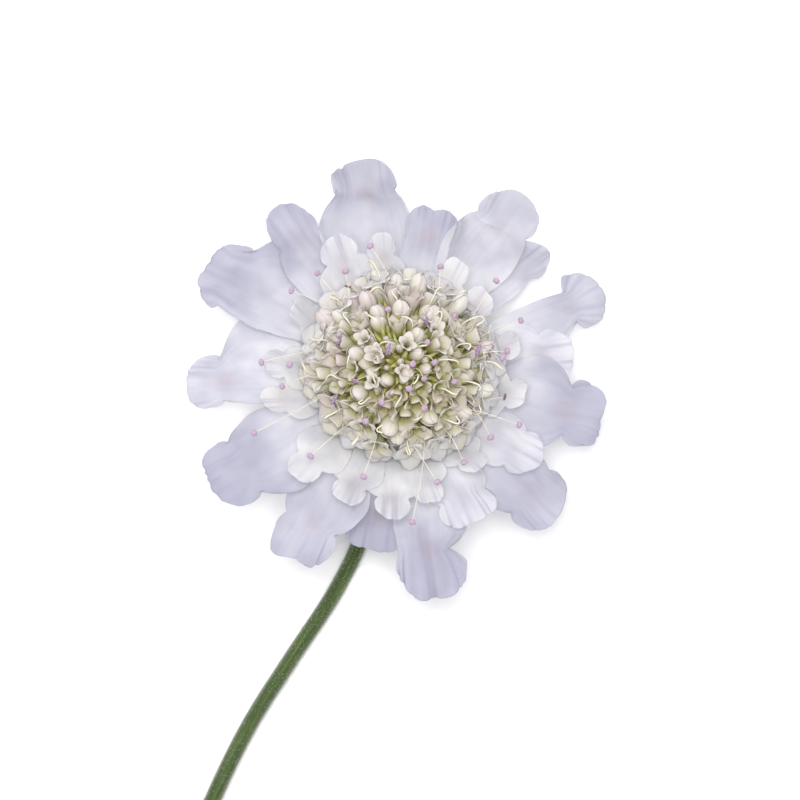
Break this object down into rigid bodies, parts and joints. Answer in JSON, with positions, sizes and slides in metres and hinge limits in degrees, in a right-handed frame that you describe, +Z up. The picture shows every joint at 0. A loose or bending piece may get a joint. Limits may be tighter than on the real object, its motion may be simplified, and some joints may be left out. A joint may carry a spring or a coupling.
{
  "type": "scabiosa flower",
  "caption": "Cut scabiosa bloom lying face up, with ruffled white ray florets round a cushion of buds and stamens, on a bent leafless stem.",
  "frame": {"origin": "middle of the footprint, on the surface that the flower lies on", "axes": "+Z up out of the surface, +Y along the longest side from the cut end of the stem towards the bloom, +X to the right of the bloom seen from above"},
  "size_m": [0.0682, 0.1229, 0.0302],
  "materials": {
    "white_petal": "matte",
    "cream_bud": "satin",
    "green_bract": "matte",
    "green_stem": "matte"
  },
  "bodies": {
    "root": {"ray_florets": "white_petal", "disc_florets": "cream_bud", "involucre": "green_bract", "stem": "green_stem"}
  },
  "joints": []
}
